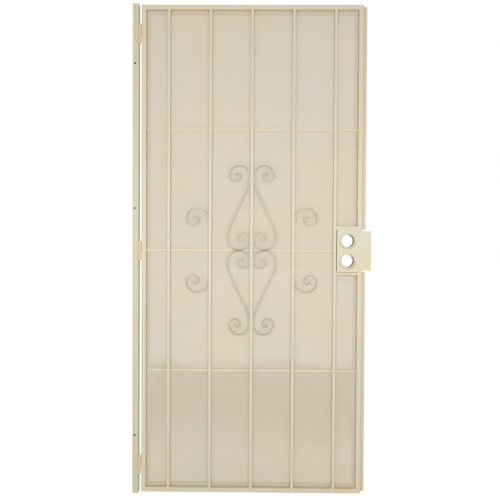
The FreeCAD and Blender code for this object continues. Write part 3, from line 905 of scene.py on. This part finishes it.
def scroll_seams():
    """Ends of the runs where scrolls leave a picket and where two bows meet."""
    seams = []
    for level, up in (("upper", 1), ("lower", -1)):
        for side, out in (("left", -1), ("right", 1)):
            low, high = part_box(f"scroll_{level}_{side}")
            picket_edge = high.x if out < 0 else low.x
            tip = high.z if up > 0 else low.z
            foot = low.z if up > 0 else high.z
            bow = (low.x + high.x) / 2
            for drop in SCROLL_DROPS:
                seams.append(deep_seam(picket_edge, tip - up * drop, low, high))
            for x in (bow - BOW_GAP, bow + BOW_GAP):
                seams.append(deep_seam(x, foot, low, high))
            curl_low, curl_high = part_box(f"curl_{level}_{side}")
            picket_edge = curl_high.x if out < 0 else curl_low.x
            foot = curl_low.z if up > 0 else curl_high.z
            for rise in CURL_RISES:
                seams.append(deep_seam(picket_edge, foot + up * rise, low, high))
    return seams


def lock_seams():
    """Ends of the runs at the corners of the lock's two bars."""
    seams = []
    for name in ("lock_top_bar", "lock_bottom_bar"):
        low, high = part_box(name)
        for x in (low.x, high.x):
            for z in (low.z, high.z):
                seams.append(deep_seam(x, z, low, high))
    return seams


def hinge_seams(part):
    """Ends of the runs over, under and along the back of the hinge flaps on one side."""
    jamb_low, jamb_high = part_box("hinge_jamb")
    edge = jamb_high.x if part == "fixed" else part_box("hinge_stile")[0].x
    seams = []
    for level in ("top", "middle", "bottom"):
        low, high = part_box(f"hinge_{part}_{level}")
        for z in (low.z, high.z):
            seams.append(deep_seam(edge, z, jamb_low, high))
        foot, head = low.z + WELD_INSET, high.z - WELD_INSET
        seams.append(((edge, high.y, foot), (edge, high.y, head)))
    return seams


def flange_seams():
    """Ends of the stitches along the back of the overlap flanges."""
    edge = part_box("latch_stile_lower")[1].x
    half = STITCH_LENGTH / 2
    seams = []
    for level in ("lower", "upper"):
        low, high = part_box(f"latch_flange_{level}")
        gap = (high.z - low.z) / STITCH_GAPS
        for z in spaced(low.z, high.z, 3 * STITCH_LENGTH, gap):
            seams.append(((edge, high.y, z - half), (edge, high.y, z + half)))
    return seams


class DOOR_OT_welds(bpy.types.Operator):
    """Lays the short runs of weld where the bars, plates and hinges meet."""

    bl_idname = "screen_door.welds"
    bl_label = "Weld Beads"

    def execute(self, context):
        settings = context.scene.door_welds
        dice = random.Random(settings.seed)
        model = model_bead()
        for name, body, coat, seams in (
            ("bar_welds", LEAF, "frame_paint", bar_seams()),
            ("scroll_welds", LEAF, "scroll_shaded_paint", scroll_seams()),
            ("lock_welds", LEAF, "frame_paint", lock_seams()),
            ("flange_welds", LEAF, "frame_paint", flange_seams()),
            ("hinge_welds", LEAF, "frame_paint", hinge_seams("leaf")),
            ("jamb_welds", JAMB, "jamb_paint", hinge_seams("fixed")),
        ):
            beads = [
                lay_bead(model, "bead", start, end, settings.bead_radius, dice)
                for start, end in seams
            ]
            welds = paint(join_as(name, beads), coats()[coat])
            finish_piece(welds, body, math.radians(60))
        bpy.data.objects.remove(model)
        return {"FINISHED"}


class DOOR_OT_coat(bpy.types.Operator):
    """Coats every piece that comes from the CAD model."""

    bl_idname = "screen_door.coat"
    bl_label = "Powder Coat"

    def execute(self, context):
        ready = coats()
        for name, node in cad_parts.items():
            # The scrolls get the darker coat, which carries painted shade
            if name.startswith(("scroll_", "curl_")):
                coat = ready["scroll_shaded_paint"]
            elif name.startswith("hinge_pin"):
                coat = ready["pin_paint"]
            elif name == "screen_panel":
                coat = ready["screen_paint"]
            elif name.startswith(("hinge_jamb", "hinge_fixed")):
                coat = ready["jamb_paint"]
            elif name in ("lock_shield_plate", "lock_bottom_bar"):
                coat = ready["plate_paint"]
            else:
                coat = ready["frame_paint"]
            if not node.material_slots:
                node.data.materials.append(None)
            for slot in node.material_slots:
                slot.link = "OBJECT"
                slot.material = coat
        return {"FINISHED"}


def floor_material():
    """A white floor that keeps shadows, and is white as far as the camera sees."""
    material, start = new_tree("studio_floor")
    seen = start.node("ShaderNodeLightPath", output="Is Camera Ray")
    mirrored = start.node("ShaderNodeLightPath", output="Is Glossy Ray")
    place = start.node("ShaderNodeTexCoord", output="Object")
    grain = noise(start, place, 3.0, 2.0)
    paint = start.node(
        "ShaderNodeBsdfPrincipled",
        None,
        {
            "Base Color": blend_colours(
                start, grain, (0.80, 0.80, 0.80, 1), (0.82, 0.82, 0.82, 1)
            ),
            "Roughness": 0.9,
        },
    )
    direct = start.maths("MAXIMUM", seen, mirrored)
    glow = start.node(
        "ShaderNodeEmission",
        None,
        {"Color": (1, 1, 1, 1), "Strength": direct * FLOOR_GLOW},
    )
    both = start.node("ShaderNodeAddShader", None, {0: paint, 1: glow})
    start.node("ShaderNodeOutputMaterial", None, {"Surface": both})
    return material


class DOOR_OT_stage(bpy.types.Operator):
    """Sets up the pale floor, the soft lamps, the sky and the camera."""

    bl_idname = "screen_door.stage"
    bl_label = "Studio"

    def execute(self, context):
        settings = context.scene.door_stage
        low, high = CAD_BOX
        middle = (low + high) / 2
        start_clean()
        bpy.ops.mesh.primitive_plane_add(
            size=FLOOR_SIZE, location=(middle.x, middle.y, low.z - FLOOR_GAP)
        )
        floor = settle(bpy.context.object)
        floor.name = "floor"
        floor.data.materials.append(floor_material())

        for name, side in (("lamp_left", -1), ("lamp_right", 1)):
            start_clean()
            place = Vector((middle.x + side * LAMP_ASIDE, LAMP_FRONT, LAMP_HEIGHT))
            bpy.ops.object.light_add(type="AREA", location=place)
            lamp = bpy.context.object
            lamp.name = name
            aim = Vector((middle.x, low.y, 0.0)) - place
            lamp.rotation_euler = aim.to_track_quat("-Z", "Y").to_euler()
            lamp.data.shape = "RECTANGLE"
            lamp.data.size = LAMP_WIDTH
            lamp.data.size_y = LAMP_DEPTH
            lamp.data.energy = settings.lamp_power

        world = bpy.data.worlds.new("studio_sky")
        context.scene.world = world
        world.use_nodes = True
        world.node_tree.nodes.clear()
        start = Wire(world.node_tree)
        seen = start.node("ShaderNodeLightPath", output="Is Camera Ray")
        mirrored = start.node("ShaderNodeLightPath", output="Is Glossy Ray")
        through = start.node("ShaderNodeLightPath", output="Is Transmission Ray")
        direct = start.maths("MAXIMUM", start.maths("MAXIMUM", seen, mirrored), through)
        level = settings.sky_level + (1.0 - settings.sky_level) * direct
        sky = start.node(
            "ShaderNodeBackground", None, {"Color": (1, 1, 1, 1), "Strength": level}
        )
        start.node("ShaderNodeOutputWorld", None, {"Surface": sky})

        camera_data = bpy.data.cameras.new("camera")
        camera = bpy.data.objects.new("camera", camera_data)
        context.scene.collection.objects.link(camera)
        camera.location = settings.camera_place
        camera.rotation_euler = settings.camera_turn
        camera_data.sensor_width = 36
        camera_data.lens = settings.lens
        camera_data.clip_start = 0.05
        camera_data.clip_end = 100
        context.scene.camera = camera
        context.scene.view_settings.view_transform = "Standard"
        return {"FINISHED"}


class DOOR_PT_panel(bpy.types.Panel):
    """Lists the door's pieces and their settings."""

    bl_idname = "DOOR_PT_panel"
    bl_label = "Security Screen Door"
    bl_space_type = "VIEW_3D"
    bl_region_type = "UI"
    bl_category = "Screen Door"

    def draw(self, context):
        for operator, group in STEPS:
            box = self.layout.box()
            box.operator(operator.bl_idname)
            settings = getattr(context.scene, group)
            for name in settings.bl_rna.properties.keys():
                if name not in ("rna_type", "name"):
                    box.prop(settings, name)


STEPS = (
    (DOOR_OT_coat, "door_coat"),
    (DOOR_OT_screen, "door_screen"),
    (DOOR_OT_screws, "door_screws"),
    (DOOR_OT_welds, "door_welds"),
    (DOOR_OT_stage, "door_stage"),
)

GROUPS = {
    "door_screen": ScreenSettings,
    "door_screws": ScrewSettings,
    "door_welds": WeldSettings,
    "door_coat": CoatSettings,
    "door_stage": StageSettings,
}


def register():
    """Registers the settings, the operators and the panel."""
    for name, group in GROUPS.items():
        bpy.utils.register_class(group)
        setattr(bpy.types.Scene, name, bpy.props.PointerProperty(type=group))
    for operator, _ in STEPS:
        bpy.utils.register_class(operator)
    bpy.utils.register_class(DOOR_PT_panel)


def unregister():
    """Takes away what register added."""
    bpy.utils.unregister_class(DOOR_PT_panel)
    for operator, _ in reversed(STEPS):
        bpy.utils.unregister_class(operator)
    for name, group in GROUPS.items():
        delattr(bpy.types.Scene, name)
        bpy.utils.unregister_class(group)


def main():
    """Builds the door's looks and its studio."""
    register()
    bpy.ops.screen_door.coat()
    bpy.ops.screen_door.screen()
    bpy.ops.screen_door.screws()
    bpy.ops.screen_door.welds()
    bpy.ops.screen_door.stage()


if __name__ == "__main__":
    main()
